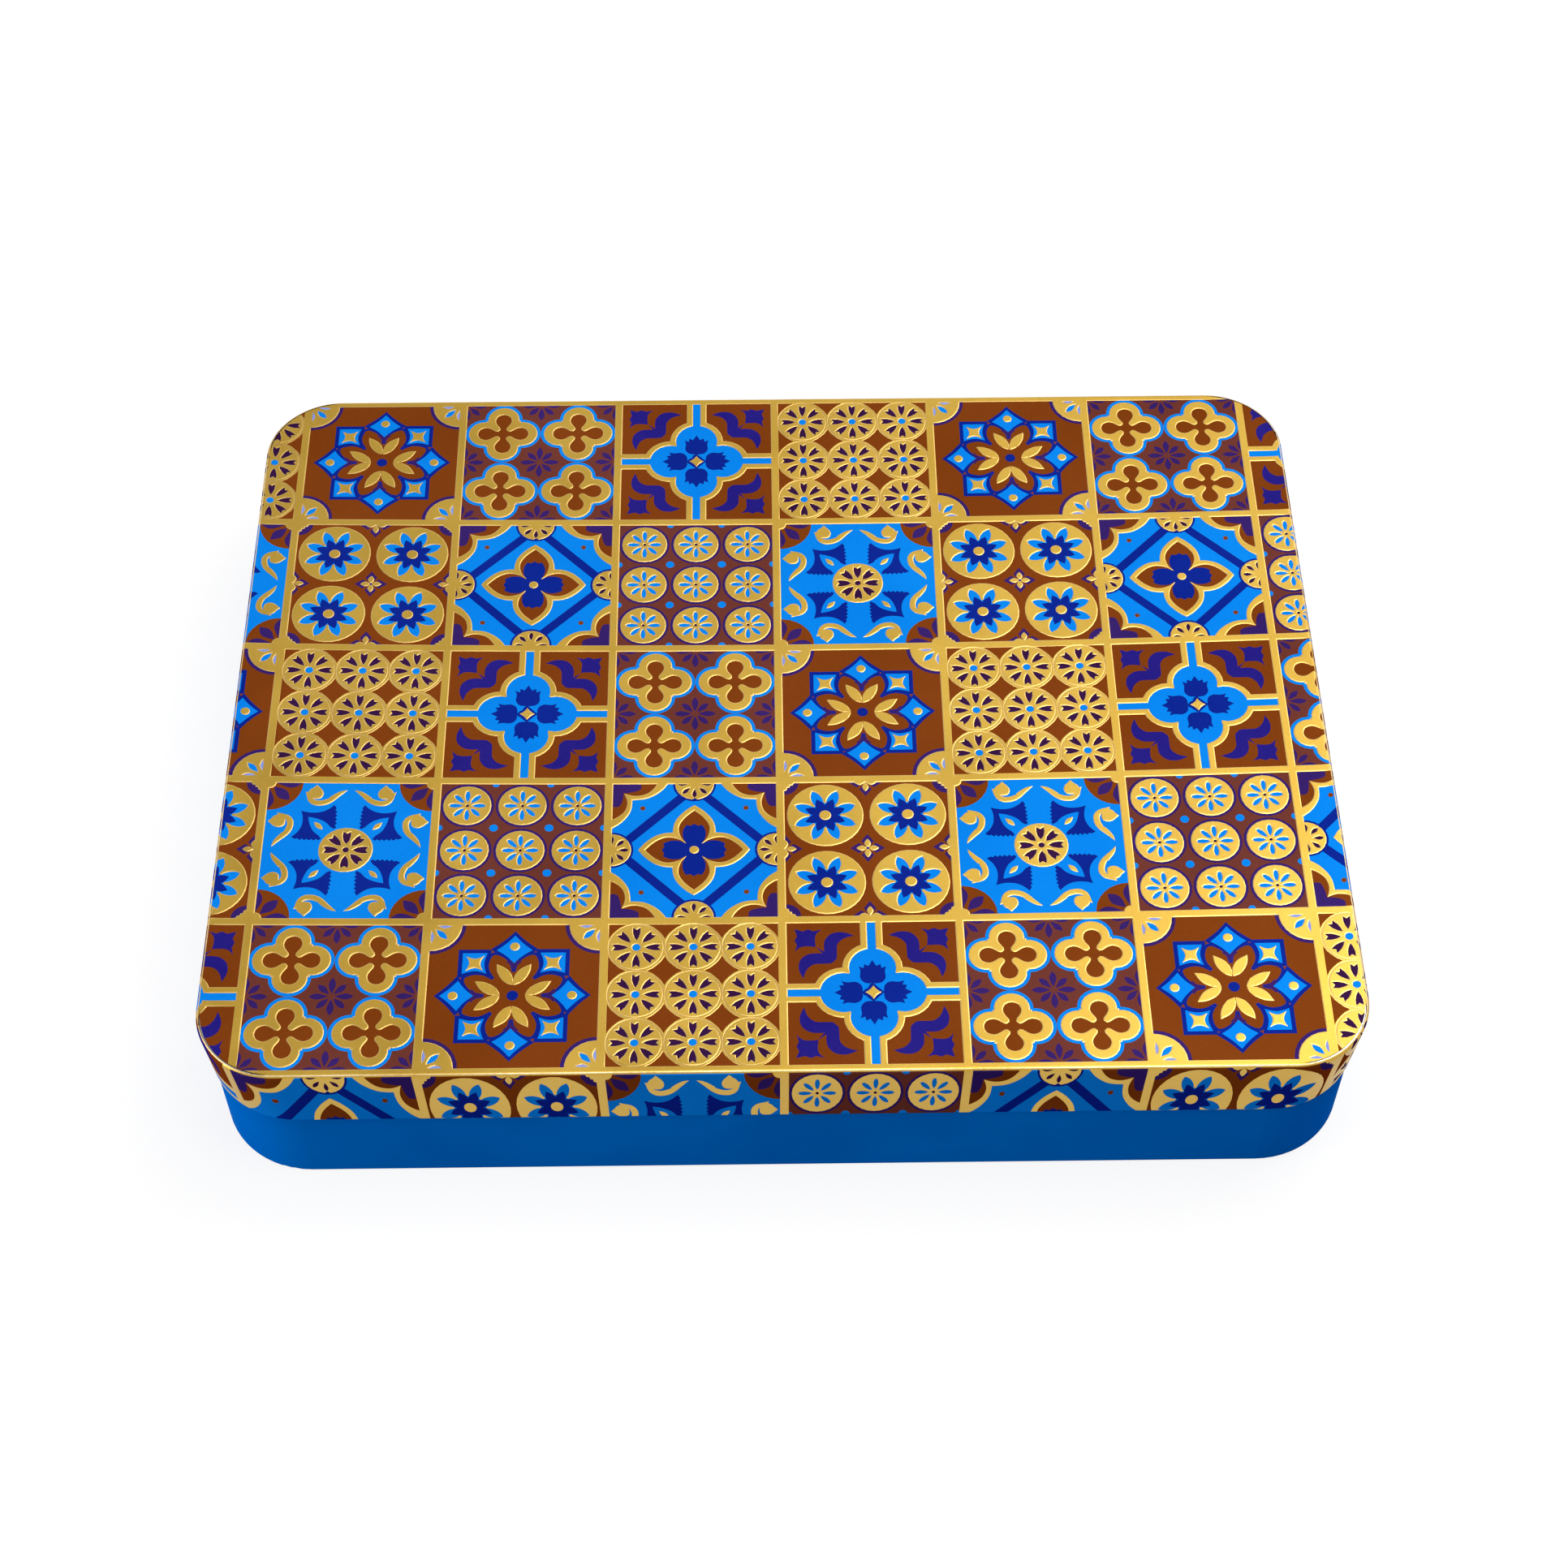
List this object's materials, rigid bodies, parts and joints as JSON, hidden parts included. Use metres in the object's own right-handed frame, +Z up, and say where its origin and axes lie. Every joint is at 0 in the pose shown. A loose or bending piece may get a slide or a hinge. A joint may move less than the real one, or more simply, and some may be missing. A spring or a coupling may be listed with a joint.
{
  "type": "nut gift box",
  "caption": "Flat rounded tin box with a lift-off lid, dished on top, over a necked base that holds a celled tray under a clear sheet.",
  "frame": {"origin": "under the middle of the closed box, on the surface it stands on", "axes": "+X along the long side, -Y towards the front, +Z up; the lid, the tray and the cover sheet lift along +Z"},
  "size_m": [0.25, 0.195, 0.041],
  "materials": {
    "lid_print": "printed and embossed tinplate, gloss varnish",
    "base_paint": "satin blue lacquer",
    "bare_tin": "bright tinplate, clear lacquer",
    "tray_plastic": "gold-coloured thermoformed sheet",
    "clear_sheet": "clear sheet"
  },
  "bodies": {
    "base": {"base_wall": "base_paint", "base_bottom": "bare_tin"},
    "lid": {"lid_shell": "lid_print"},
    "tray": {"nut_tray": "tray_plastic"},
    "cover": {"cover_sheet": "clear_sheet"}
  },
  "joints": [
    {"name": "lid_lift", "type": "slide", "parent": "base", "child": "lid", "axis": [0, 0, 1], "range_m": [0, 0.15]},
    {"name": "tray_lift", "type": "slide", "parent": "base", "child": "tray", "axis": [0, 0, 1], "range_m": [0, 0.05]},
    {"name": "cover_lift", "type": "slide", "parent": "tray", "child": "cover", "axis": [0, 0, 1], "range_m": [0, 0.05]}
  ],
  "couplings": [
    {"joint": "tray_lift", "follows": "lid_lift", "ratio": 0.33333},
    {"joint": "cover_lift", "follows": "lid_lift", "ratio": 0.33333}
  ]
}
